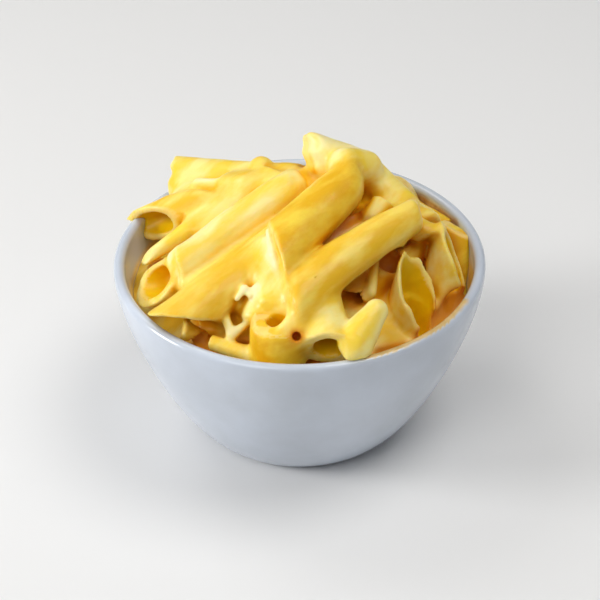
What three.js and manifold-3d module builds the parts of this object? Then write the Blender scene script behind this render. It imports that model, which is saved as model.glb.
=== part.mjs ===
// Bowl of penne in cheese sauce: a deep glazed bowl and the heap of pasta that fills it.
// Millimetres, +Z up, the bowl's underside on Z = 0 and its axis on the origin.
import * as THREE from 'three';
import Module from 'manifold-3d';
import { mergeVertices } from 'three/addons/utils/BufferGeometryUtils.js';

const RIM_RADIUS = 60;
const BOWL_HEIGHT = 62;
const BASE_RADIUS = 32;
const WALL = 3.6;
const FLOOR_THICKNESS = 6;
const BOWL_STEPS = 60;
const SEAT_GAP = 0.3;
const HEAP_EDGE_HEIGHT = 47;
const HEAP_CROWN_HEIGHT = 75;
const PENNE_SIDES = 10;
const PASTA_WALL = 1.8;

const wasm = await Module();
wasm.setup();

// Points along a curve that leaves its start towards one point and reaches its end from another.
function curve(start, towards, from, end, steps) {
  const corners = [start, towards, from, end].map((point) => new THREE.Vector2(...point));
  return new THREE.CubicBezierCurve(...corners).getPoints(steps);
}

// A solid turned round the Z axis from an outline of radius and height.
function turned(outline) {
  return new THREE.LatheGeometry(outline, BOWL_STEPS).rotateX(Math.PI / 2);
}

// The bowl's inside up to a height, moved in by a gap.
function innerWall(gap, top) {
  const rim = RIM_RADIUS - WALL - gap;
  const floor = FLOOR_THICKNESS + gap;
  return curve([24 - gap, floor], [37 - gap, floor + 1], [rim, 45], [rim, top], 10);
}

// The bowl with its rounded lip and flat underside.
function bowlGeometry() {
  const lip = WALL / 2;
  const lipHeight = BOWL_HEIGHT - lip;
  const outer = curve([BASE_RADIUS, 0], [41, 1], [RIM_RADIUS, 44], [RIM_RADIUS, lipHeight], 12);
  const edge = [];
  for (let i = 1; i < 6; i += 1) {
    const turn = (Math.PI * i) / 6;
    const radius = RIM_RADIUS - lip + lip * Math.cos(turn);
    edge.push(new THREE.Vector2(radius, lipHeight + lip * Math.sin(turn)));
  }
  const inner = innerWall(0, lipHeight).reverse();
  const floor = new THREE.Vector2(0, FLOOR_THICKNESS);
  return turned([new THREE.Vector2(0, 0), ...outer, ...edge, ...inner, floor]);
}

// The body of the heap that the tubes stand out of.
function coreGeometry() {
  const side = innerWall(SEAT_GAP, HEAP_EDGE_HEIGHT);
  const rim = RIM_RADIUS - WALL - SEAT_GAP;
  const top = [0, HEAP_CROWN_HEIGHT];
  const crown = curve([rim, HEAP_EDGE_HEIGHT], [48, 58], [34, HEAP_CROWN_HEIGHT], top, 6);
  const outline = [new THREE.Vector2(0, FLOOR_THICKNESS + SEAT_GAP), ...side, ...crown.slice(1)];
  return turned(outline);
}

// A solid tube of pasta from start to end with both ends cut on the slant: its radius goes from
// the first to the second of the pair, tip is the side on which the start runs out to a point
// and slant is the slope of the cut.
function penneGeometry({ start, end, radius, tip, slant }) {
  const from = new THREE.Vector3(...start);
  const to = new THREE.Vector3(...end);
  const along = to.clone().sub(from).normalize();
  const side = new THREE.Vector3(...tip);
  side.addScaledVector(along, -side.dot(along)).normalize();
  const across = along.clone().cross(side);
  const points = [from, to];
  for (const [centre, reach] of [[from, radius[0]], [to, radius[1]]]) {
    for (let i = 0; i < PENNE_SIDES; i += 1) {
      const angle = (2 * Math.PI * i) / PENNE_SIDES;
      const point = centre.clone().addScaledVector(side, reach * Math.cos(angle));
      point.addScaledVector(across, reach * Math.sin(angle));
      points.push(point.addScaledVector(along, -slant * reach * Math.cos(angle)));
    }
  }
  const faces = [];
  for (let i = 0; i < PENNE_SIDES; i += 1) {
    const low = 2 + i;
    const lowNext = 2 + ((i + 1) % PENNE_SIDES);
    const high = low + PENNE_SIDES;
    const highNext = lowNext + PENNE_SIDES;
    faces.push(low, lowNext, high, lowNext, highNext, high, 0, lowNext, low, 1, high, highNext);
  }
  const rod = new THREE.BufferGeometry();
  const places = points.flatMap((point) => point.toArray());
  rod.setAttribute('position', new THREE.Float32BufferAttribute(places, 3));
  rod.setIndex(faces);
  return rod;
}

// The hollow seen in the open start of a tube.
function hollowGeometry(tube) {
  const from = new THREE.Vector3(...tube.start);
  const along = new THREE.Vector3(...tube.end).sub(from).normalize();
  const reach = tube.slant * tube.radius[0] + 1;
  const start = from.clone().addScaledVector(along, -reach).toArray();
  const end = from.clone().addScaledVector(along, tube.hollow).toArray();
  const inside = tube.radius[0] - PASTA_WALL;
  return penneGeometry({ ...tube, start, end, radius: [inside, inside], slant: 0 });
}

const DOWN = [0, 0, -1];
const UP = [0, 0, 1];

// One tube for the lists below: hollow is how deep its open start goes in, 0 for a closed one.
function penne(start, end, radius, tip = UP, slant = 0.7, hollow = 0) {
  return { start, end, radius, tip, slant, hollow };
}

// The tubes seen from the front, from the back left of the bowl to its front right.
const FRONT = [
  penne([-41, 41.5, 68.5], [2, 26, 74], [5.4, 5], [0, 1, 1], 0.3),
  penne([-11.5, 34.5, 76], [-18, 27, 61], [5.4, 5], UP, 0.2),
  penne([-48.5, 18.5, 62], [-32.5, 21.5, 69], [7.2, 7], [0, 1, -0.2], 1.3, 14),
  penne([-49.5, 0, 61.2], [-14, 22.5, 73], [2.2, 5], [-1, -0.6, -0.6], 1.4),
  penne([-45, -16.3, 63.4], [-14, -4, 58], [8.2, 6], DOWN, 0.8, 11),
  penne([-37.4, -16, 68.6], [1.8, 15, 80.2], [6.2, 6.6], [0.77, -0.64, 0.1], 0.5),
  penne([-35.3, -38, 65], [2, -5.5, 77.5], [8.5, 6.6], [-0.5, 0.3, 1], 1.2),
  penne([-7, -24, 80], [20, 10.5, 86], [9.6, 7], [0.77, -0.64, 0.09], 0.6),
  penne([-3, -40.5, 71.5], [38, -4, 79.5], [8.4, 5.4], [1, -1, 0], 0.5),
  penne([3.4, 22.5, 84], [26, 21.5, 82.8], [7.4, 7], [0, 1, 0.4], 0.5),
  penne([25, 25, 80], [35.5, 9, 73], [5.2, 5], UP, 0.4),
  penne([26.5, 3.4, 79.5], [13, -8, 73], [3.8, 4], UP, 0.1),
  penne([42.5, -1.5, 69.5], [26, 4, 75], [3.8, 4], [0, 1, 1], 0.9),
  penne([42.5, 7, 68], [33, 28, 62], [4.4, 5], UP, 0.3),
  penne([52, 15, 61], [53, 5, 49], [5.4, 5], [-1, 1, 0], 0.7),
  penne([51.3, -3.6, 64], [44.6, -9, 54], [7.4, 6], [-0.9, 0.35, -0.25], 1.1, 14),
  penne([37.4, -22, 63.6], [34, -24.6, 48], [8.6, 7.4], [-0.73, 0.67, 0.02], 1.25, 13),
  penne([8.6, -51, 61.6], [6, -34, 68], [8.4, 6.4], [1, 0, 0], 0.2, 9),
  penne([-6.5, -45.5, 68.6], [-7, -48, 53], [8.6, 8.2], [0, 1, 0], 0.15, 6),
  penne([-27.5, -42, 58.6], [-15, -46, 56.5], [2.4, 2.6], UP, 0.2),
  penne([-36, -37.5, 60], [-29, -37, 55], [3, 3], UP, 0.2),
  penne([17, -54, 63.5], [19.8, -42, 70.8], [6, 3.6], UP, 0.2),
];

// The tubes of the layer below, seen only in the gaps.
const UNDER = [
  penne([17, -22, 60], [40, 8, 62], [5.6, 5.6], UP, 0.7),
  penne([-45, 2, 53], [-20, -30, 62], [6, 6], UP, 0.7),
  penne([-34, -10, 61], [8, -20, 67], [6, 6], UP, 0.7),
  penne([-30, -24, 58], [10, -40, 58], [6, 6], UP, 0.7),
  penne([-30, 10, 64], [16, 4, 72], [6.5, 6.5], UP, 0.7),
  penne([0, -12, 68], [34, 12, 71], [6.5, 6.5], UP, 0.7),
  penne([22, -30, 50], [44, -8, 50], [6, 6], UP, 0.7),
];

// The tubes behind the crown, on the far side of the heap.
const BACK = [
  penne([-8, 41, 65], [32, 34, 68], [6, 6], [-1, 0, 1], 0.8),
  penne([-44, 26, 56], [-4, 44, 60], [6, 6], [-1, 0, 1], 0.8),
  penne([38, 30, 60], [10, 46, 58], [5.8, 5.8], [1, 1, 0], 0.8),
  penne([-20, 24, 72], [18, 14, 77], [6, 6], UP, 0.7),
  penne([10, 30, 74], [34, 14, 67], [6, 6], UP, 0.7),
  penne([-26, 43, 60], [4, 19, 71], [6.8, 6.8], [0, 1, 0], 0.8),
  penne([49, 24, 54], [32, 42, 55], [5.6, 5.6], [1, 0, 1], 0.8),
  penne([26, 48, 54], [-2, 51, 55], [5.6, 5.8], [1, 1, 0], 0.7),
  penne([-8, 52, 54], [-30, 42, 57], [5.8, 5.4], [1, 1, 1], 0.7),
  penne([-34, 41, 54], [-49, 20, 55], [5.4, 5.6], [0, 1, 1], 0.8),
  penne([24, 43, 62], [8, 22, 76], [5.8, 5.6], [0, 1, 1], 0.8),
  penne([-5, 45, 62], [-4, 24, 74], [5.6, 5.4], [0, 1, 1], 0.9),
  penne([12, 48, 59], [2, 30, 71], [5.2, 5.4], [1, 1, 0], 0.7),
  penne([37, 36, 57], [22, 24, 73], [5.6, 5.8], [0, 1, 1], 0.7),
];

// The room the heap may fill: inside the bowl below its lip, and out past it above.
function roomGeometry() {
  const side = innerWall(SEAT_GAP, BOWL_HEIGHT - WALL / 2);
  const over = BOWL_HEIGHT + SEAT_GAP;
  const rim = RIM_RADIUS - WALL - SEAT_GAP;
  const far = 2 * RIM_RADIUS;
  const above = 2 * BOWL_HEIGHT;
  const outside = [[rim, over], [far, over], [far, above], [0, above]];
  const outline = [new THREE.Vector2(0, FLOOR_THICKNESS + SEAT_GAP), ...side];
  return turned([...outline, ...outside.map((point) => new THREE.Vector2(...point))]);
}

// A closed body to join or cut with, from a geometry.
function solid(geometry) {
  const bare = geometry.clone();
  bare.deleteAttribute('normal');
  bare.deleteAttribute('uv');
  const joined = mergeVertices(bare, 0.0001);
  const vertProperties = new Float32Array(joined.attributes.position.array);
  const triVerts = new Uint32Array(joined.index.array);
  return new wasm.Manifold(new wasm.Mesh({ numProp: 3, vertProperties, triVerts }));
}

// The geometry of a joined or cut body.
function geometryOf(body) {
  const mesh = body.getMesh();
  const geometry = new THREE.BufferGeometry();
  geometry.setAttribute('position', new THREE.Float32BufferAttribute(mesh.vertProperties, 3));
  geometry.setIndex(new THREE.Uint32BufferAttribute(mesh.triVerts, 1));
  geometry.computeVertexNormals();
  return geometry;
}

// A body without the gaps that are closed in on all sides within it.
function filledIn(body) {
  return body.decompose().reduce((best, each) => (each.volume() > best.volume() ? each : best));
}

// The heap as one solid: core and tubes joined, then hollowed and cut to the room it has.
function heapGeometry() {
  let heap = solid(coreGeometry());
  for (const tube of [...UNDER, ...BACK, ...FRONT]) {
    heap = heap.add(solid(penneGeometry(tube)));
  }
  for (const tube of FRONT.filter((each) => each.hollow)) {
    heap = heap.subtract(solid(hollowGeometry(tube)));
  }
  return geometryOf(filledIn(heap.intersect(solid(roomGeometry()))));
}

const bowl = new THREE.Mesh(
  bowlGeometry(),
  new THREE.MeshStandardMaterial({ color: 0xe4e7ee, roughness: 0.18, metalness: 0 }),
);
bowl.name = 'bowl';

const heap = new THREE.Mesh(
  heapGeometry(),
  new THREE.MeshStandardMaterial({ color: 0xf2c53d, roughness: 0.35, metalness: 0 }),
);
heap.name = 'pasta_heap';

const group = new THREE.Group();
group.name = 'mac_and_cheese';
group.add(bowl, heap);

export default group;
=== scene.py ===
import math

import bpy
import numpy as np
from mathutils import Matrix, Vector


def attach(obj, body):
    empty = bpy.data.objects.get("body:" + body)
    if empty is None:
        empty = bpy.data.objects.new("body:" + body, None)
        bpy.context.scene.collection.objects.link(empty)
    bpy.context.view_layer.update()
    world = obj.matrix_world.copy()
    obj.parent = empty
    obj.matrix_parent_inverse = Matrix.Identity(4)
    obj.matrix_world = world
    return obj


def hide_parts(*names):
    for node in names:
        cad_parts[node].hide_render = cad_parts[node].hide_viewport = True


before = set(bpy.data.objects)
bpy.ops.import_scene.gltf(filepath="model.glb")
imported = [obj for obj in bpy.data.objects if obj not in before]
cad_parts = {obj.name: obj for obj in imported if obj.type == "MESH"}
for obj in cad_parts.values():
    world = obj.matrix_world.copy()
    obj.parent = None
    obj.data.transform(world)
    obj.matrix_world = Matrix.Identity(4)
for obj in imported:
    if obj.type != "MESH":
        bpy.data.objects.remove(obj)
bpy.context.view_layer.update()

# The bowl and the food are in millimetres, and become metres where a mesh is made. The studio,
# the camera and the materials are in metres.
MM = 0.001

RIM_RADIUS = 60.0
BOWL_HEIGHT = 62.0
BASE_RADIUS = 32.0
WALL = 3.6
LIP_RADIUS = WALL / 2
LIP_HEIGHT = BOWL_HEIGHT - LIP_RADIUS
FLOOR_THICKNESS = 6.0
UNDERSIDE_RING = 4.0

# The walls in section, each as the four points of a cubic curve, in radius and height.
INNER_CURVE = [(24, FLOOR_THICKNESS), (37, FLOOR_THICKNESS + 1), (RIM_RADIUS - WALL, 45),
               (RIM_RADIUS - WALL, LIP_HEIGHT)]
OUTER_CURVE = [(BASE_RADIUS, 0), (41, 1), (RIM_RADIUS, 44), (RIM_RADIUS, LIP_HEIGHT)]

# How many points make up the bowl's curves, and how many steps its turn.
OUTER_POINTS = 40
INNER_POINTS = 36
LIP_POINTS = 13
MEASURED_POINTS = 60
BOWL_STEPS = 360

# The grid that the heap is worked out on, and the size of the mesh that is made from it.
HEAP_STEP = 0.6
HEAP_FLOOR = 42.0
HEAP_TOP = 97.0
HEAP_REACH = 61.0
HEAP_TRIANGLES = 190000
HEAP_SEED = 7

# How far a piece is felt, and a distance that stands for anything further off.
REACH = 6.0
FAR = 9.0

# How softly surfaces and tints run into each other.
PASTA_BLEND = 0.55
SAUCE_BLEND = 1.6
TINT_BLEND = 0.8
FILM_BLEND = 0.5
CORE_BLEND = 1.5
PIT_BLEND = 0.6
WALL_BLEND = 0.3
HOLLOW_BLEND = 3.0
HOLLOW_EDGE_BLEND = 0.7

# The usual wall of a tube, how far the sauce's surface is set in, how near a cut marks the
# surface, and how far past its ends a tube's bend and width go on, as a share of its length.
PASTA_WALL = 1.5
SAUCE_SINK = 0.35
CUT_REACH = 0.6
BEND_OVERRUN = 0.2

# The solid dome under the tubes.
CORE_RADIUS = 57.0
CORE_EDGE_HEIGHT = 48.0
CORE_RISE = 17.0

# The waves of the uneven skin: how far apart and how high, and how much of them the sauce and
# the dome take up.
COARSE_SPACING = 7.5
COARSE_HEIGHT = 0.45
FINE_SPACING = 2.6
FINE_HEIGHT = 0.14
SAUCE_WAVES = 0.6
CORE_WAVES = 2.0

# How far the food reaches into the bowl's wall, so that no gap shows between them.
WALL_OVERLAP = 0.2

# What the heap's materials read from its mesh: the heights that openness is felt at, which sets the
# painted shade in the heap's creases, and the distances over which each of the other values fades.
OPEN_HEIGHTS = (1.5, 3.0, 5.5)
INNER_FADE = 0.8
SAUCE_FADE = 1.2
EDGE_FADE = 1.6
# GLOOM_FADE is how far the painted shade near a pit reaches.
GLOOM_FADE = 1.6
TINT_START = 0.1
TINT_SPREAD = 0.15

# The stains on the bowl: the box that their wobble fills, its spacing and its share, how they
# fade and cover, and how far over the wall a stain of the inside may run.
STAIN_BOX = ((-64, 64), (-64, 64), (-1, 66))
STAIN_SEED = 3
WOBBLE_SPACING = 5
WOBBLE_SHARE = 0.5
STAIN_FADE = 1.2
STAIN_COVER = 0.9
STAIN_OVER_WALL = 0.75 * WALL

UP = (0, 0, 1)
DOWN = (0, 0, -1)

# Colours, as shares of red, green and blue light. The two after CUT_EDGE are multiplied in, by how
# open the place is: they, and the colour after them, are painted shade in the creases and gaps of the
# heap.
PASTA_GOLD = (0.80, 0.42, 0.0)
PASTA_PALE = (0.94, 0.64, 0.02)
CREAM_GOLD = (0.96, 0.69, 0.07)
CREAM_PALE = (0.99, 0.83, 0.32)
SAUCE_WHITE = (0.99, 0.88, 0.5)
TUBE_INSIDE = (0.88, 0.56, 0.002)
CUT_EDGE = (0.97, 0.76, 0.30)
FULLY_OPEN = (1, 1, 1)
HALF_SHUT_SHADE = (0.92, 0.70, 0.06)
DEEP_GAP_SHADE = (0.66, 0.20, 0.006)
# Painted shade that browns the surface near the pits.
PIT_SHADE_BROWN = (0.80, 0.30, 0.02)
GLAZE_PALE = (0.60, 0.66, 0.76)
GLAZE_GREY = (0.53, 0.58, 0.66)
STAIN_YELLOW = (0.93, 0.70, 0.22)
# Partly the sauce's own brown, partly painted shade on the bowl's inner wall.
STAIN_BROWN_AND_SHADE = (0.42, 0.18, 0.02)
STAIN_PATCH = (0.90, 0.66, 0.30)
FLOOR_GREY = (0.8, 0.8, 0.8, 1)
SKY_LOW = (0.2, 0.2, 0.2)
SKY_HIGH = (1.0, 1.0, 1.0)

# How most of the tubes lie, which the grain of the sauce follows: degrees round from X, and up.
GRAIN_HEADING = 41
GRAIN_RISE = 14

FLOOR_HALF = 4.0
SKY_STRENGTH = 0.36
LIGHT_TARGET = (0, 0, 0.05)

# The soft round lights: name, place, width, power in watts, and colour.
LIGHTS = [
    ("window", (-1.0, -0.14, 0.4), 0.35, 6.6, (1, 0.99, 0.97)),
    ("back_window", (-0.45, 0.4, 0.85), 0.45, 1.6, (1, 0.99, 0.97)),
    ("ceiling", (0.4, -0.05, 1.05), 0.6, 4.2, (1, 0.99, 0.97)),
    ("front_fill", (-0.45, -0.7, 1.0), 0.6, 3.3, (1, 0.99, 0.96)),
]


def unit(v):
    v = np.asarray(v, float)
    return v / np.linalg.norm(v)


def smooth_max(a, b, k):
    """The larger of a and b, rounded off over about k mm where they meet."""
    h = np.clip(0.5 + 0.5 * (a - b) / k, 0, 1)
    return b + (a - b) * h + k * h * (1 - h)


def smooth_min(a, b, k):
    return -smooth_max(-a, -b, k)


def pull(gap, k):
    """How strongly a surface that far away draws the blended one, down to none at REACH."""
    return np.clip(np.exp(-gap / k) - math.exp(-REACH / k), 0, None)


class Penne:
    """One tube of pasta. radius is its half width at the start and at the end, tip the side on
    which the start runs out to a point, slant the slope of both cuts, bow how far its middle
    stands off the straight line and thick its height as a share of its width at each end,
    measured along press. For the start and the end, deep is how far the hollow goes in and
    blunt how far the cut is rounded off. rag is how uneven the cuts are, wall the thickness
    round the hollow and tone how pale the piece is."""

    def __init__(self, start, end, radius=(6, 6), tip=UP, slant=0.7, bow=(0, 0, 0),
                 thick=(0.9, 0.9), press=UP, deep=(9, 9), blunt=(0.9, 0.9), rag=0.25,
                 wall=PASTA_WALL, tone=0.0):
        self.start = np.array(start, float)
        self.end = np.array(end, float)
        self.radius = radius
        self.along = unit(self.end - self.start)
        self.length = float(np.linalg.norm(self.end - self.start))
        self.side = self.square_on(tip)
        self.press = self.square_on(press)
        self.across = np.cross(self.along, self.press)
        self.slant = slant
        self.bow = np.array(bow, float)
        self.thick = thick
        self.deep = deep
        self.blunt = blunt
        self.rag = rag
        self.wall = wall
        self.tone = tone

    def square_on(self, direction):
        direction = np.asarray(direction, float)
        square = direction - direction.dot(self.along) * self.along
        if np.linalg.norm(square) < 0.05:
            square = np.cross(self.along, (0.0, 1.0, 0.0))
        return unit(square)

    def room(self):
        reach = max(self.radius) * (1 + self.slant) + self.rag + REACH
        reach = reach + np.abs(self.bow)
        return np.minimum(self.start, self.end) - reach, np.maximum(self.start, self.end) + reach

    def distance(self, x, y, z):
        """How far each point is outside the tube's wall, from its hollow, and from a cut."""
        x, y, z = x - self.start[0], y - self.start[1], z - self.start[2]

        def part(v):
            return x * v[0] + y * v[1] + z * v[2]

        u = part(self.along)
        t = np.clip(u / self.length, -BEND_OVERRUN, 1 + BEND_OVERRUN)
        bend = 4 * t * (1 - t)
        p = part(self.press) - bend * self.bow.dot(self.press)
        q = part(self.across) - bend * self.bow.dot(self.across)
        half = self.radius[0] + (self.radius[1] - self.radius[0]) * t
        thick = self.thick[0] + (self.thick[1] - self.thick[0]) * t
        k0 = np.sqrt((q / half) ** 2 + (p / (half * thick)) ** 2) + 1e-3
        k1 = np.sqrt((q / half ** 2) ** 2 + (p / (half * thick) ** 2) ** 2) + 1e-3 / half
        skin = k0 * (k0 - 1) / k1
        tilt = math.hypot(1, self.slant)
        lean = self.slant * (p * self.side.dot(self.press) + q * self.side.dot(self.across))
        # Gentle waves make the cuts uneven, and each tube's own place shifts them.
        lean = lean + self.rag * np.sin(0.8 * p + self.start[0]) * np.sin(0.7 * q + self.start[1])
        before = -(u + lean) / tilt
        after = (u + lean - self.length) / tilt
        tube = smooth_max(smooth_max(skin, before, self.blunt[0]), after, self.blunt[1])
        bore = skin + self.wall
        ends = np.minimum(-before - self.deep[0], -after - self.deep[1])
        hollow = smooth_max(bore, ends, HOLLOW_BLEND)
        cut = np.minimum(np.abs(before), np.abs(after)) + np.clip(-bore - 0.5, 0, FAR)
        lining = np.maximum(hollow, np.maximum(before, after) - 0.5)
        return smooth_max(tube, -hollow, HOLLOW_EDGE_BLEND), lining, cut


class Drop:
    """A rounded bar from start to end, with a half width at each end. tone is how pale it is, and
    where it is a gap, how much painted shade browns the surface near it."""

    def __init__(self, start, end, radius, tone=0.0):
        self.start = np.array(start, float)
        self.end = np.array(end, float)
        self.radius = radius
        self.tone = tone

    def room(self):
        reach = max(self.radius) + REACH
        return np.minimum(self.start, self.end) - reach, np.maximum(self.start, self.end) + reach

    def distance(self, x, y, z):
        x, y, z = x - self.start[0], y - self.start[1], z - self.start[2]
        line = self.end - self.start
        t = np.clip((x * line[0] + y * line[1] + z * line[2]) / line.dot(line), 0, 1)
        gap = np.sqrt((x - t * line[0]) ** 2 + (y - t * line[1]) ** 2 + (z - t * line[2]) ** 2)
        return gap - (self.radius[0] + (self.radius[1] - self.radius[0]) * t)


# A deep of SHUT leaves an end without a hollow, as where sauce has filled it.
SHUT = -4

# The tubes seen from the front: from the back left of the bowl to its front right, and then
# along the front rim to the left.
FRONT = [
    Penne((-41, 41.5, 68.5), (2, 26, 74), (5.4, 5), (0, 1, 1), 0.3, deep=(SHUT, 9), rag=1.4,
          blunt=(1.2, 2), tone=0.8),
    Penne((-48.5, 18.5, 62), (-32.5, 21.5, 69), (7.2, 7), (0, 1, -0.2), 1.3,
          deep=(14, SHUT), blunt=(0.7, 5), wall=2.2, tone=-0.1),
    Penne((-49.5, 0, 61.2), (-14, 22.5, 73), (2.2, 5), (-1, -0.6, -0.6), 1.4,
          deep=(SHUT, SHUT), tone=0.9),
    Penne((-45, -16.3, 63.4), (-14, -4, 58), (8.2, 6), DOWN, 0.8, deep=(11, 9), wall=2.5),
    Penne((-37.4, -16, 68.6), (1.8, 15, 80.2), (6.2, 6.6), (0.77, -0.64, 0.1), 0.5,
          deep=(SHUT, SHUT), blunt=(1.2, 6), tone=1.2, bow=(0, 0, 1)),
    Penne((-35.3, -38, 65), (2, -5.5, 77.5), (8.5, 6.6), (-0.5, 0.3, 1), 1.2,
          thick=(0.75, 0.9), blunt=(1.2, 2), tone=-0.3),
    Penne((-7, -24, 80), (20, 10.5, 86), (9.6, 7), (0.77, -0.64, 0.09), 0.78,
          thick=(0.72, 0.95), deep=(SHUT, SHUT), blunt=(1.2, 6), tone=-0.5),
    Penne((-3, -40.5, 71.5), (38, -4, 79.5), (8.4, 5.4), (1, -1, 0), 0.5, thick=(0.85, 0.95),
          deep=(SHUT, SHUT), blunt=(4, 3), bow=(0, 0, 2.6), tone=-0.3),
    Penne((3.6, 22.5, 86.4), (23.5, 21, 80.6), (7.4, 6.4), (0, 1, 0.4), 0.5, deep=(SHUT, SHUT),
          blunt=(4, 5), rag=0.8, tone=1.4),
    Penne((23.4, 22, 78.6), (36.5, 8, 72), (5.4, 5.2), UP, 0.4, deep=(SHUT, SHUT), blunt=(2, 2),
          tone=0.9),
    Penne((26.8, 3.6, 79), (22, -2.6, 75.4), (3.8, 3.2), UP, 0.1, deep=(SHUT, SHUT),
          blunt=(1.2, 3), tone=0.9),
    Penne((42.5, -1.5, 69.5), (26, 4, 75), (3.8, 4), (0, 1, 1), 0.9, deep=(SHUT, SHUT)),
    Penne((42.5, 7, 68), (33, 28, 62), (5, 5), UP, 0.3, deep=(SHUT, 9), blunt=(2.4, 1), tone=0.5),
    Penne((52, 15, 61), (53, 5, 49), (5.4, 5), (-1, 1, 0), 0.7, deep=(SHUT, 9), tone=-0.8),
    Penne((49.8, -4.8, 62.6), (44.4, -9.8, 50), (8.8, 7.4), (-0.82, 0.41, 0.41), 1.1,
          deep=(14, SHUT), wall=2, tone=1),
    Penne((37.2, -23.4, 62), (33.6, -26, 45), (9.2, 8.2), (-0.73, 0.67, 0.02), 1.25,
          deep=(30, SHUT), rag=1.1, wall=1.7, tone=0.5),
    Penne((8.6, -51, 62.4), (6, -34, 69), (8.4, 6.4), (1, 0, 0), 0.2, thick=(1, 0.9), wall=3.3,
          tone=0.8),
    Penne((-6.5, -45.5, 68.6), (-7, -48, 53), (8.6, 8.2), (0, 1, 0), 0.15, blunt=(2, 1),
          deep=(6, 9), wall=4.5, tone=-0.9),
    Penne((-27.5, -42, 58.6), (-15, -46, 56.5), (2.4, 2.6), UP, 0.2, deep=(SHUT, SHUT), tone=0.8),
    Penne((-36, -37.5, 60), (-29, -37, 55), (3, 3), UP, 0.2, deep=(SHUT, SHUT)),
]

# The tubes of the layer below, seen only in the gaps.
UNDER = [
    Penne((17, -22, 60), (40, 8, 62), (5.6, 5.6)),
    Penne((-45, 2, 53), (-20, -30, 62), (6, 6)),
    Penne((-34, -10, 61), (8, -20, 67), (6, 6)),
    Penne((-30, -24, 58), (10, -40, 58), (6, 6)),
    Penne((-30, 10, 64), (16, 4, 72), (6.5, 6.5)),
    Penne((0, -12, 68), (34, 12, 71), (6.5, 6.5)),
    Penne((22, -31, 46), (44, -9, 45), (5.6, 5.6)),
]

# The tubes behind the crown, on the far side of the heap.
BACK = [
    Penne((-20, 24, 72), (18, 14, 77), (6, 6)),
    Penne((10, 30, 74), (34, 14, 67), (6, 6)),
    Penne((8, 51, 57), (15, 25, 77), (6, 5.8), (0, 1, 1), 0.8, bow=(0, 0, 1.5), tone=0.4),
    Penne((-9, 50, 58), (-3, 25, 74), (6, 5.6), (0, 1, 1), 0.7, tone=-0.1),
    Penne((-25, 45, 58), (-15, 28, 70), (6, 5.8), (1, 1, 0), 0.8, tone=0.5),
    Penne((-42, 30, 57), (-20, 47, 54), (5.6, 5.6), (0, 1, 1), 0.8, tone=0.2),
    Penne((35, 38, 58), (27, 20, 73), (5.8, 5.6), (0, 1, 1), 0.7, bow=(1, 1, 1), tone=0.2),
    Penne((21, 47, 56), (22, 27, 69), (5.6, 5.4), (1, 1, 1), 0.7, tone=0.6),
    Penne((48, 25, 54), (31, 42, 54), (5.4, 5.4), (1, 0, 1), 0.8, tone=-0.2),
    Penne((28, 45, 51), (-2, 51, 51), (5.4, 5.4), (1, 1, 0), 0.7, tone=-0.3),
]

# Sauce left on the bowl: the directions it runs between in degrees, how far out and how high it lies,
# how wide it is and how brown. The brown is partly the sauce's own colour and partly painted shade on
# the inner wall.
STAINS = [
    (-70, -28, 57.6, 62, 2.4, 0.5),
    (-66, -32, 57.2, 59, 3, 1),
    (-118, -74, 56.6, 61, 1.3, 0.1),
    (150, 196, 55.8, 50, 2.6, 0.2),
    # Brown sauce on the back right inner wall, partly painted shade.
    (22, 58, 55.5, 56, 5, 1),
    (-24, 20, 55.8, 53, 3.6, 0.4),
    # Painted shade: a brown patch low on the front right inner wall, in the deep gap beside the heap.
    (-62, -14, 54, 50, 8, 1),
]

# A knob and a lump of pasta, and the beads and ridges of thick sauce, which all stand out with
# a skin of their own.
LUMPS = [
    Drop((-12.4, 30, 75.8), (-12, 26, 72), (4.3, 4.3), -0.2),
    Drop((16.6, -50.6, 65), (22.6, -42.4, 69.8), (5.9, 3.8), 1.1),
    Drop((18, -53.6, 64.2), (15, -54.6, 63.4), (2.8, 2.4), 1.3),
    Drop((-9.3, -19.5, 83.6), (-7.6, -26, 79.6), (1.5, 2), 2),
    Drop((-7.6, -26, 79.6), (-5.4, -34, 75.3), (2, 1.2), 2),
    Drop((-19, -36, 70.4), (-16.8, -33.4, 72.2), (1, 1.1), 2),
    Drop((-16.8, -33.4, 72.2), (-15, -35, 71), (1, 0.9), 2),
    Drop((-15, -35, 71), (-13.2, -33.2, 72.2), (0.9, 1.1), 2),
    Drop((-13.2, -33.2, 72.2), (-10.8, -38.6, 71.4), (1.1, 1.5), 1.8),
    Drop((-22.8, -36.3, 63.9), (-20.8, -41.3, 60.9), (1.2, 1.4), 1.8),
    Drop((-20.8, -41.3, 60.9), (-15.6, -39.6, 64), (1.4, 1.3), 1.8),
]

# Thick sauce that flows into what it touches: webs between tubes, strips and pools.
SAUCE = [
    Drop((-33, 26.4, 72.9), (-18, 20.4, 75.6), (1.3, 1.4), 1.8),
    Drop((-36, 27, 64.5), (-17, 20, 68.5), (6.5, 5.5), 0.9),
    Drop((-38, 36, 65), (-18, 26, 67), (6, 6), 0.4),
    Drop((15, 13, 87.6), (22, 17, 84.4), (5, 4.6), 1.3),
    Drop((-39.4, -12.5, 69.5), (-36.8, -17.2, 66), (1.6, 1.2), 2),
    Drop((-10, -20, 78.5), (-7.5, -29, 74), (3.4, 3.2), 1),
    Drop((-6, -34, 72), (0, -38, 71.5), (3, 3), 1),
    Drop((-14, -22, 73), (-9, -30, 72), (4, 4), -0.2),
    Drop((-32, -24, 65.5), (-4, 0, 73.5), (3.6, 3.6), 0),
    Drop((-9.5, -37, 70), (-4.5, -38.5, 70.5), (3.4, 3.4), 0.3),
    Drop((-14.4, -34.6, 68.6), (-15.4, -38.5, 66), (1.4, 1.8), 1.2),
    Drop((-17, -31, 66), (-15.5, -37, 63), (2.2, 1.6), 1),
    Drop((-5, -49.3, 68.8), (-1.8, -45.8, 71), (0.9, 0.9), 1),
    Drop((23.3, -16.8, 70), (22.4, -24.5, 64), (1.6, 1.2), 0.5),
]
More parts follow.
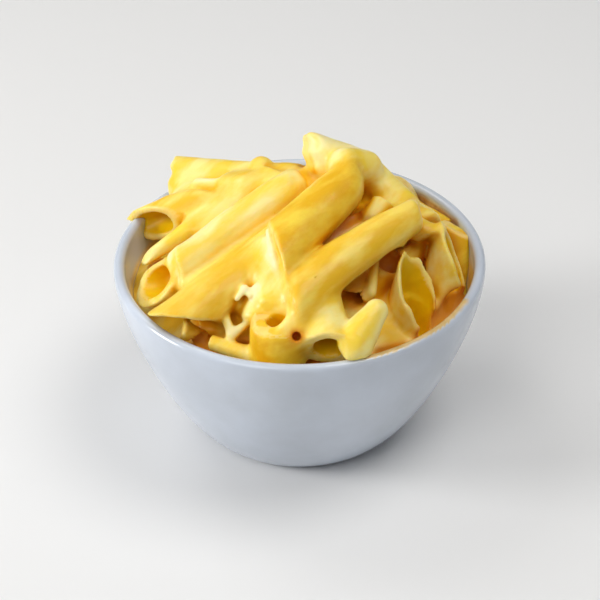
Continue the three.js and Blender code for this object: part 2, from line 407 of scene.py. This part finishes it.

# Gaps that go down between the tubes: the last number is how much painted shade browns them inside.
PITS = [
    Drop((28.5, -10, 66), (28, -4, 60), (4.4, 4), 0.9),
    Drop((33.5, 0.5, 65), (28, -6, 62), (2.6, 3), 0.9),
    Drop((16.5, -26.5, 62), (21, -18, 61.5), (1.9, 2.6), 0.8),
    Drop((41, -36, 52), (53, -14, 52), (6, 6), 0.9),
    Drop((37, -23.5, 60), (35, -25.5, 50), (6, 5.6), 0),
    Drop((45, -22, 57), (49, -17, 56), (2.6, 2.4), 0.8),
    Drop((26, -43, 53), (33, -39, 53), (3.4, 3.4), 0.8),
    Drop((-33, -38, 57), (-16, -40, 54), (2.4, 2.6), 0.9),
    Drop((-1.2, -53.5, 69.2), (-1.2, -48.6, 65.4), (1.5, 1.2), 1),
    Drop((3, -16, 76), (18, -1, 77), (1.2, 1.8), 0.9),
]


def curve(corners, count):
    """Points along a cubic curve, as rows of radius and height."""
    t = np.linspace(0, 1, count)[:, None]
    p0, p1, p2, p3 = (np.array(p, float) for p in corners)
    return (1 - t) ** 3 * p0 + 3 * (1 - t) ** 2 * t * p1 + 3 * (1 - t) * t ** 2 * p2 + t ** 3 * p3


def inner_radius(height):
    """How far out the bowl's inner wall is at each height."""
    wall = curve(INNER_CURVE, MEASURED_POINTS)
    return np.interp(height, wall[:, 1], wall[:, 0])


def bowl_outline():
    turn = np.linspace(0, math.pi, LIP_POINTS)[1:-1]
    lip = np.stack([RIM_RADIUS - LIP_RADIUS + LIP_RADIUS * np.cos(turn),
                    LIP_HEIGHT + LIP_RADIUS * np.sin(turn)], 1)
    underside = [(0, 0), (BASE_RADIUS - UNDERSIDE_RING, 0)]
    inside = curve(INNER_CURVE, INNER_POINTS)[::-1]
    return np.vstack([underside, curve(OUTER_CURVE, OUTER_POINTS), lip, inside,
                      [(0, FLOOR_THICKNESS)]])


def lump_field(axes, spacing, rng):
    """Smooth random lumps about spacing mm apart, roughly from -1 to 1, at every grid point."""
    counts = [int((a[-1] - a[0]) / spacing) + 5 for a in axes]
    lattice = rng.normal(0, 1, counts).astype(np.float32)
    for number, axis in enumerate(axes):
        place = (axis - axis[0]) / spacing
        first = np.floor(place).astype(int)
        f = (place - first).astype(np.float32)
        weights = [(1 - f) ** 3 / 6, (3 * f ** 3 - 6 * f ** 2 + 4) / 6,
                   (-3 * f ** 3 + 3 * f ** 2 + 3 * f + 1) / 6, f ** 3 / 6]
        moved = np.moveaxis(lattice, number, 0)
        smooth = sum(w[:, None, None] * moved[first + k] for k, w in enumerate(weights))
        lattice = np.moveaxis(smooth, 0, number)
    return lattice


class Heap:
    """The space round the heap as a grid of points, with the distance to its surface."""

    def __init__(self, step):
        self.step = step
        low = (-HEAP_REACH, -HEAP_REACH, HEAP_FLOOR)
        high = (HEAP_REACH, HEAP_REACH, HEAP_TOP)
        self.low = np.array(low)
        self.high = np.array(high)
        self.axes = [np.arange(a, b, step, dtype=np.float32) for a, b in zip(low, high)]
        shape = tuple(len(a) for a in self.axes)
        self.pasta_sum = np.zeros(shape, np.float32)
        self.sauce_sum = np.zeros(shape, np.float32)
        self.hollow = np.full(shape, FAR, np.float32)
        self.cut = np.full(shape, FAR, np.float32)
        self.gloom = np.zeros(shape, np.float32)
        self.tint_sum = np.zeros(shape, np.float32)
        self.tint_share = np.full(shape, TINT_START, np.float32)

    def window(self, low, high):
        """The part of the grid inside a box: its slices, and its points' coordinates."""
        cuts = []
        for axis, a, b in zip(self.axes, low, high):
            cuts.append(slice(int(np.searchsorted(axis, a)), int(np.searchsorted(axis, b))))
        x, y, z = (axis[cut] for axis, cut in zip(self.axes, cuts))
        return tuple(cuts), x[:, None, None], y[None, :, None], z[None, None, :]

    def add_penne(self, tube, tint):
        cut, x, y, z = self.window(*tube.room())
        gap, hollow, edge = tube.distance(x, y, z)
        self.pasta_sum[cut] += pull(gap, PASTA_BLEND)
        self.sauce_sum[cut] += pull(gap, SAUCE_BLEND)
        self.hollow[cut] = np.minimum(self.hollow[cut], hollow)
        nearest = np.minimum(self.cut[cut], edge)
        self.cut[cut] = np.where(gap < CUT_REACH, nearest, self.cut[cut])
        self.tint_in(cut, gap, tint)

    def add_drop(self, drop, is_lump):
        cut, x, y, z = self.window(*drop.room())
        gap = drop.distance(x, y, z)
        if is_lump:
            self.pasta_sum[cut] += pull(gap, PASTA_BLEND)
        else:
            self.sauce_sum[cut] += pull(gap - SAUCE_SINK, SAUCE_BLEND)
        self.tint_in(cut, gap, drop.tone)

    def tint_in(self, cut, gap, tint):
        """Adds a piece's tint to the space about it, the more the nearer the piece is."""
        share = np.exp(-np.clip(gap, -REACH, REACH) / TINT_BLEND)
        self.tint_sum[cut] += share * tint
        self.tint_share[cut] += share

    def settle(self, rng):
        """Works out the distance to the heap's surface from all that was added."""
        small = 1e-9
        pasta = -PASTA_BLEND * np.log(self.pasta_sum + math.exp(-REACH / PASTA_BLEND) + small)
        sauce = -SAUCE_BLEND * np.log(self.sauce_sum + math.exp(-REACH / SAUCE_BLEND)) + SAUCE_SINK
        coarse = COARSE_HEIGHT * lump_field(self.axes, COARSE_SPACING, rng)
        waves = coarse + FINE_HEIGHT * lump_field(self.axes, FINE_SPACING, rng)
        x, y, z = self.window(self.low, self.high)[1:]
        radius = np.sqrt(x ** 2 + y ** 2)
        core = z - (CORE_EDGE_HEIGHT + CORE_RISE * (1 - (radius / CORE_RADIUS) ** 2))
        self.pasta = pasta + waves
        whole = smooth_min(self.pasta, sauce + SAUCE_WAVES * waves, FILM_BLEND)
        whole = smooth_min(whole, core + CORE_WAVES * waves, CORE_BLEND)
        for pit in PITS:
            cut, px, py, pz = self.window(*pit.room())
            gap = pit.distance(px, py, pz)
            whole[cut] = smooth_max(whole[cut], -gap, PIT_BLEND)
            # Painted shade: near each pit the surface is browned by the pit's tone.
            brown_and_shade = pit.tone * np.clip(1 - gap / GLOOM_FADE, 0, 1)
            self.gloom[cut] = np.maximum(self.gloom[cut], brown_and_shade)
        self.whole = self.inside_bowl(whole, radius, z)

    def inside_bowl(self, whole, radius, z):
        """Cuts away what would lie in the bowl's wall or outside it."""
        side = inner_radius(z.ravel())[None, None, :].astype(np.float32)
        beyond = np.where(z < LIP_HEIGHT, radius - side - WALL_OVERLAP, -FAR)
        lip = np.hypot(radius - (RIM_RADIUS - LIP_RADIUS), z - LIP_HEIGHT)
        lip = lip - LIP_RADIUS + WALL_OVERLAP
        outside = np.maximum(RIM_RADIUS - LIP_RADIUS - radius, z - LIP_HEIGHT)
        whole = smooth_max(whole, beyond.astype(np.float32), WALL_BLEND)
        whole = smooth_max(whole, -lip.astype(np.float32), WALL_BLEND)
        whole = np.maximum(whole, -outside.astype(np.float32))
        # The heap ends a cell and a half above the grid's lowest points, so its surface closes.
        floor = (self.low[2] + 1.5 * self.step - z).astype(np.float32)
        return np.maximum(whole, floor)

    def sample(self, values, points):
        return sample_grid(values, self.low, self.step, points)


def sample_grid(values, low, step, points):
    """A grid's values at points given in mm, between the grid's own points."""
    place = (points - np.array(low)) / step
    place = np.clip(place, 0, np.array(values.shape) - 1.001)
    first = place.astype(int)
    f = place - first
    result = np.zeros(len(points))
    for corner in range(8):
        pick = np.array([corner & 1, corner >> 1 & 1, corner >> 2 & 1])
        weight = np.prod(np.where(pick, f, 1 - f), axis=1)
        spot = first + pick
        result += weight * values[spot[:, 0], spot[:, 1], spot[:, 2]]
    return result


def surface_net(values, low, step):
    """Vertices and four-sided faces of the surface where the values cross zero."""
    inside = values < 0
    corners = [(i, j, k) for i in (0, 1) for j in (0, 1) for k in (0, 1)]
    size = tuple(n - 1 for n in values.shape)

    def shifted(array, corner):
        return array[tuple(slice(c, c + n) for c, n in zip(corner, size))]

    count = np.zeros(size, np.int8)
    for corner in corners:
        count += shifted(inside, corner)
    cells = np.argwhere((count > 0) & (count < 8))
    number = np.full(size, -1, np.int32)
    number[tuple(cells.T)] = np.arange(len(cells))
    place = np.zeros((len(cells), 3))
    hits = np.zeros(len(cells))
    for a in corners:
        for axis in range(3):
            if a[axis]:
                continue
            b = tuple(c + (n == axis) for n, c in enumerate(a))
            va = values[tuple((cells + a).T)]
            vb = values[tuple((cells + b).T)]
            cross = (va < 0) != (vb < 0)
            share = np.where(cross, va / np.where(cross, va - vb, 1), 0)
            point = np.array(a) + share[:, None] * (np.array(b) - np.array(a))
            place += cross[:, None] * point
            hits += cross
    vertices = low + step * (cells + place / hits[:, None])
    faces = []
    for axis in range(3):
        ahead = np.moveaxis(inside, axis, 0)
        change = ahead[1:] != ahead[:-1]
        spots = np.argwhere(change[:, 1:-1, 1:-1]) + (0, 1, 1)
        starts = ahead[:-1][tuple(spots.T)]
        cell_number = np.moveaxis(number, axis, 0)
        ring = [cell_number[spots[:, 0], spots[:, 1] + i, spots[:, 2] + j]
                for i, j in ((-1, -1), (0, -1), (0, 0), (-1, 0))]
        quad = np.stack(ring, 1)
        if axis == 1:
            starts = ~starts
        quad[~starts] = quad[~starts][:, ::-1]
        faces.append(quad)
    return vertices, np.vstack(faces)


def largest_part(vertices, faces):
    """Keeps only the largest connected part of a mesh."""
    label = np.arange(len(vertices))
    while True:
        lowest = label[faces].min(axis=1)
        new = label.copy()
        np.minimum.at(new, faces.ravel(), np.repeat(lowest, 4))
        new = new[new]
        if np.array_equal(new, label):
            break
        label = new
    main = np.bincount(label).argmax()
    keep = label == main
    renumber = np.cumsum(keep) - 1
    return vertices[keep], renumber[faces[keep[faces[:, 0]]]]


def new_object(name, data):
    made = bpy.data.objects.new(name, data)
    bpy.context.scene.collection.objects.link(made)
    return made


def mesh_object(name, vertices, faces):
    """A mesh piece from vertices in mm and faces that all have as many corners."""
    mesh = bpy.data.meshes.new(name)
    mesh.vertices.add(len(vertices))
    mesh.vertices.foreach_set("co", (np.asarray(vertices) * MM).astype(np.float32).ravel())
    sides = faces.shape[1]
    mesh.loops.add(faces.size)
    mesh.loops.foreach_set("vertex_index", faces.ravel().astype(np.int32))
    mesh.polygons.add(len(faces))
    mesh.polygons.foreach_set("loop_start", np.arange(0, faces.size, sides, dtype=np.int32))
    mesh.update(calc_edges=True)
    mesh.validate()
    mesh.shade_smooth()
    return new_object(name, mesh)


def thinned(piece, triangles):
    """Collapses the flattest edges until the piece has at most that many triangles."""
    have = sum(len(face.vertices) - 2 for face in piece.data.polygons)
    if have <= triangles:
        return piece
    reduce = piece.modifiers.new("thin", "DECIMATE")
    reduce.ratio = triangles / have
    depsgraph = bpy.context.evaluated_depsgraph_get()
    mesh = bpy.data.meshes.new_from_object(piece.evaluated_get(depsgraph))
    piece.modifiers.remove(reduce)
    piece.data = mesh
    mesh.shade_smooth()
    return piece


def paint(piece, name, values):
    attribute = piece.data.attributes.new(name, "FLOAT", "POINT")
    attribute.data.foreach_set("value", np.asarray(values, np.float32))


def vertex_array(piece, what):
    rows = np.zeros(len(piece.data.vertices) * 3, np.float32)
    if what == "co":
        piece.data.vertices.foreach_get("co", rows)
    else:
        piece.data.vertex_normals.foreach_get("vector", rows)
    return rows.reshape(-1, 3).astype(float)


def make_heap():
    rng = np.random.default_rng(HEAP_SEED)
    heap = Heap(HEAP_STEP)
    for tube in FRONT + UNDER + BACK:
        heap.add_penne(tube, tube.tone + rng.uniform(-TINT_SPREAD, TINT_SPREAD))
    for drop in LUMPS:
        heap.add_drop(drop, True)
    for drop in SAUCE:
        heap.add_drop(drop, False)
    heap.settle(rng)
    vertices, faces = largest_part(*surface_net(heap.whole, heap.low, heap.step))
    piece = thinned(mesh_object("pasta", vertices, faces), HEAP_TRIANGLES)
    points = vertex_array(piece, "co") / MM
    normals = vertex_array(piece, "normal")
    # Openness: how free the space is just off the surface. The material paints shade from it into
    # creases and gaps.
    open_share = sum(np.clip(heap.sample(heap.whole, points + h * normals) / h, 0, 1)
                     for h in OPEN_HEIGHTS) / len(OPEN_HEIGHTS)
    paint(piece, "openness", open_share)
    paint(piece, "inner", np.clip(1 - heap.sample(heap.hollow, points) / INNER_FADE, 0, 1))
    paint(piece, "sauce", np.clip(heap.sample(heap.pasta, points) / SAUCE_FADE, 0, 1))
    paint(piece, "tint", heap.sample(heap.tint_sum / heap.tint_share, points))
    paint(piece, "gloom", heap.sample(heap.gloom, points))
    paint(piece, "edge", np.clip(1 - heap.sample(heap.cut, points) / EDGE_FADE, 0, 1))
    return piece


def turned_object(name, outline, steps):
    """A piece turned from an outline of radius and height, which starts and ends on the axis."""
    rows = len(outline) - 2
    angle = np.arange(steps) * 2 * math.pi / steps
    ring = np.stack([np.cos(angle), np.sin(angle)], 1)
    vertices = [(0, 0, outline[0][1])]
    for radius, height in outline[1:-1]:
        vertices += [(radius * c, radius * s, height) for c, s in ring]
    vertices.append((0, 0, outline[-1][1]))
    mesh = bpy.data.meshes.new(name)
    faces = []
    for row in range(rows - 1):
        for i in range(steps):
            a = 1 + row * steps + i
            b = 1 + row * steps + (i + 1) % steps
            faces.append((a, b, b + steps, a + steps))
    last = len(vertices) - 1
    for i in range(steps):
        after = (i + 1) % steps
        faces.append((0, 1 + after, 1 + i))
        faces.append((last, last - steps + i, last - steps + after))
    mesh.from_pydata([tuple(c * MM for c in v) for v in vertices], [], faces)
    mesh.shade_smooth()
    return new_object(name, mesh)


def new_material(name):
    material = bpy.data.materials.new(name)
    material.use_nodes = True
    tree = material.node_tree
    return material, tree, tree.nodes["Principled BSDF"]


def node(tree, kind, **settings):
    made = tree.nodes.new(kind)
    for key, value in settings.items():
        setattr(made, key, value)
    return made


def set_inputs(made, values):
    for name, value in values.items():
        made.inputs[name].default_value = value


def attribute_node(tree, name):
    return node(tree, "ShaderNodeAttribute", attribute_name=name).outputs["Fac"]


def mixed(tree, share, first, second, blend="MIX"):
    """A colour between two others: each may be a socket or a plain colour."""
    mix = node(tree, "ShaderNodeMix", data_type="RGBA", blend_type=blend)
    for name, kind, value in (("Factor", "VALUE", share), ("A", "RGBA", first), ("B", "RGBA", second)):
        target = next(s for s in mix.inputs if s.name == name and s.type == kind)
        if isinstance(value, bpy.types.NodeSocket):
            tree.links.new(value, target)
        else:
            target.default_value = value if kind == "VALUE" else (*value, 1)
    return next(s for s in mix.outputs if s.type == "RGBA")


def ramp(tree, value, low, high, to_low=0.0, to_high=1.0):
    made = node(tree, "ShaderNodeMapRange", clamp=True)
    tree.links.new(value, made.inputs["Value"])
    set_inputs(made, {"From Min": low, "From Max": high, "To Min": to_low, "To Max": to_high})
    return made.outputs["Result"]


def noise(tree, scale, detail, stretch=1.0):
    """Cloudy noise, drawn out along the way most of the tubes lie where stretch is over 1."""
    coordinates = node(tree, "ShaderNodeTexCoord")
    turned = node(tree, "ShaderNodeMapping", vector_type="TEXTURE")
    lie = (0, math.radians(-GRAIN_RISE), math.radians(GRAIN_HEADING))
    set_inputs(turned, {"Rotation": lie, "Scale": (stretch, 1, 1)})
    made = node(tree, "ShaderNodeTexNoise")
    tree.links.new(coordinates.outputs["Object"], turned.inputs["Vector"])
    tree.links.new(turned.outputs["Vector"], made.inputs["Vector"])
    set_inputs(made, {"Scale": scale, "Detail": detail})
    return made.outputs["Fac"]


def pasta_material():
    """Golden pasta under a paler film of sauce, with painted shade that darkens and reddens it into
    the gaps and browns it near the pits.
    """
    material, tree, shader = new_material("pasta_in_cheese_sauce")
    film = ramp(tree, noise(tree, 150, 6, 2.6), 0.4, 0.62)
    cream = mixed(tree, film, CREAM_GOLD, CREAM_PALE)
    plain = mixed(tree, film, PASTA_GOLD, PASTA_PALE)
    tone = attribute_node(tree, "tint")
    colour = mixed(tree, ramp(tree, tone, -0.9, 1.1), plain, cream)
    sauce = ramp(tree, attribute_node(tree, "sauce"), 0.2, 0.9, 0, 0.2)
    colour = mixed(tree, sauce, colour, cream)
    colour = mixed(tree, ramp(tree, tone, 1.0, 1.8), colour, SAUCE_WHITE)
    inner = ramp(tree, attribute_node(tree, "inner"), 0.2, 0.9)
    colour = mixed(tree, inner, colour, TUBE_INSIDE)
    edge = ramp(tree, attribute_node(tree, "edge"), 0.3, 0.9, 0, 0.6)
    colour = mixed(tree, edge, colour, CUT_EDGE)
    # Painted shade: the colour is darkened where the heap is half shut in, and turned a deep red-brown
    # in the gaps.
    openness = attribute_node(tree, "openness")
    shade = mixed(tree, ramp(tree, openness, 0.78, 0.3), FULLY_OPEN, HALF_SHUT_SHADE)
    colour = mixed(tree, 1.0, colour, shade, "MULTIPLY")
    colour = mixed(tree, ramp(tree, openness, 0.4, 0.04, 0, 0.85), colour, DEEP_GAP_SHADE)
    # Painted shade near the pits.
    colour = mixed(tree, attribute_node(tree, "gloom"), colour, PIT_SHADE_BROWN)
    tree.links.new(colour, shader.inputs["Base Color"])
    set_inputs(shader, {
        "Subsurface Weight": 0.4,
        "Subsurface Radius": (1.0, 0.6, 0.15),
        "Subsurface Scale": 0.0022,
        "Roughness": 0.38,
        "Specular IOR Level": 0.22,
        "Coat Weight": 0.1,
        "Coat Roughness": 0.12,
    })
    bump = node(tree, "ShaderNodeBump")
    set_inputs(bump, {"Strength": 0.35, "Distance": 0.0006})
    tree.links.new(noise(tree, 420, 4, 1.6), bump.inputs["Height"])
    tree.links.new(bump.outputs["Normal"], shader.inputs["Normal"])
    return material


def bowl_material():
    """Pale blue-grey glaze, with a film of sauce where the bowl was stained, whose brown is partly
    painted shade.
    """
    material, tree, shader = new_material("glazed_bowl")
    glaze = mixed(tree, ramp(tree, noise(tree, 45, 5), 0.35, 0.68), GLAZE_PALE, GLAZE_GREY)
    # The brown of the film is partly painted shade.
    film = mixed(tree, attribute_node(tree, "brown_and_shade"), STAIN_YELLOW, STAIN_BROWN_AND_SHADE)
    film = mixed(tree, ramp(tree, noise(tree, 300, 4), 0.35, 0.7, 0, 0.6), film, STAIN_PATCH)
    colour = mixed(tree, attribute_node(tree, "stain"), glaze, film)
    tree.links.new(colour, shader.inputs["Base Color"])
    set_inputs(shader, {"Roughness": 0.22, "Coat Weight": 0.3, "Coat Roughness": 0.08})
    return material


def stain_on(points, wobble):
    """How thickly and how brown the sauce lies at each point of the bowl, the brown being partly
    painted shade.
    """
    angle = np.degrees(np.arctan2(points[:, 1], points[:, 0]))
    radius = np.hypot(points[:, 0], points[:, 1])
    inside = radius < inner_radius(points[:, 2]) + STAIN_OVER_WALL
    stain = np.zeros(len(points))
    brown_and_shade = np.zeros(len(points))
    for begin, end, out, height, width, tone in STAINS:
        middle, half = (begin + end) / 2, (end - begin) / 2
        beyond = np.abs((angle - middle + 180) % 360 - 180) - half
        along = np.radians(np.clip(beyond, 0, None)) * RIM_RADIUS
        gap = np.sqrt(along ** 2 + (radius - out) ** 2 + (points[:, 2] - height) ** 2)
        share = np.clip((width * (1 + WOBBLE_SHARE * wobble) - gap) / STAIN_FADE, 0, 1)
        share = share * (inside if out < RIM_RADIUS - WALL / 2 else 1)
        brown_and_shade = np.where(share > stain, tone, brown_and_shade)
        stain = np.maximum(stain, share)
    return stain, brown_and_shade


def make_bowl():
    piece = turned_object("bowl_glazed", bowl_outline(), BOWL_STEPS)
    points = vertex_array(piece, "co") / MM
    axes = [np.arange(low, high, 1, dtype=np.float32) for low, high in STAIN_BOX]
    corner = [low for low, high in STAIN_BOX]
    rng = np.random.default_rng(STAIN_SEED)
    wobble = sample_grid(lump_field(axes, WOBBLE_SPACING, rng), corner, 1, points)
    stain, brown_and_shade = stain_on(points, wobble)
    paint(piece, "stain", STAIN_COVER * stain)
    paint(piece, "brown_and_shade", brown_and_shade)
    piece.data.materials.append(bowl_material())
    return piece


def make_camera():
    """The photograph's view: 36 degrees above the table, leaning a little to one side."""
    rise = math.radians(36.0)
    away = 0.560
    lean = math.radians(-0.8)
    target = Vector((0, 0, 0.0435))
    place = target + Vector((0, -away * math.cos(rise), away * math.sin(rise)))
    data = bpy.data.cameras.new("camera")
    data.lens = 102.0
    data.sensor_width = 36.0
    data.clip_start = 0.01
    camera = new_object("camera", data)
    turn = (target - place).to_track_quat("-Z", "Y").to_matrix().to_4x4()
    camera.matrix_world = Matrix.Translation(place) @ turn @ Matrix.Rotation(lean, 4, "Z")
    bpy.context.scene.camera = camera


def add_light(name, place, size, power, colour):
    data = bpy.data.lights.new(name, "AREA")
    data.shape = "DISK"
    data.size = size
    data.energy = power
    data.color = colour
    light = new_object(name, data)
    light.location = place
    towards = Vector(LIGHT_TARGET) - light.location
    light.rotation_euler = towards.to_track_quat("-Z", "Y").to_euler()


def make_sky():
    """Soft light from above that fades towards the floor."""
    world = bpy.data.worlds.new("studio")
    world.use_nodes = True
    tree = world.node_tree
    place = node(tree, "ShaderNodeTexCoord").outputs["Generated"]
    height = node(tree, "ShaderNodeSeparateXYZ")
    tree.links.new(place, height.inputs["Vector"])
    colour = mixed(tree, ramp(tree, height.outputs["Z"], 0.0, 0.9), SKY_LOW, SKY_HIGH)
    tree.links.new(colour, tree.nodes["Background"].inputs["Color"])
    tree.nodes["Background"].inputs["Strength"].default_value = SKY_STRENGTH
    bpy.context.scene.world = world


def make_studio():
    floor = new_object("floor", bpy.data.meshes.new("floor"))
    half = FLOOR_HALF
    corners = [(-half, -half, 0), (half, -half, 0), (half, half, 0), (-half, half, 0)]
    floor.data.from_pydata(corners, [], [(0, 1, 2, 3)])
    material, _, shader = new_material("pale_floor")
    set_inputs(shader, {"Base Color": FLOOR_GREY, "Roughness": 0.9})
    floor.data.materials.append(material)
    make_sky()
    for light in LIGHTS:
        add_light(*light)
    bpy.context.scene.view_settings.view_transform = "Standard"


make_camera()
make_studio()

bowl = make_bowl()
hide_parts("bowl")
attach(bowl, "root")

pasta = make_heap()
pasta.data.materials.append(pasta_material())
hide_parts("pasta_heap")
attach(pasta, "root")
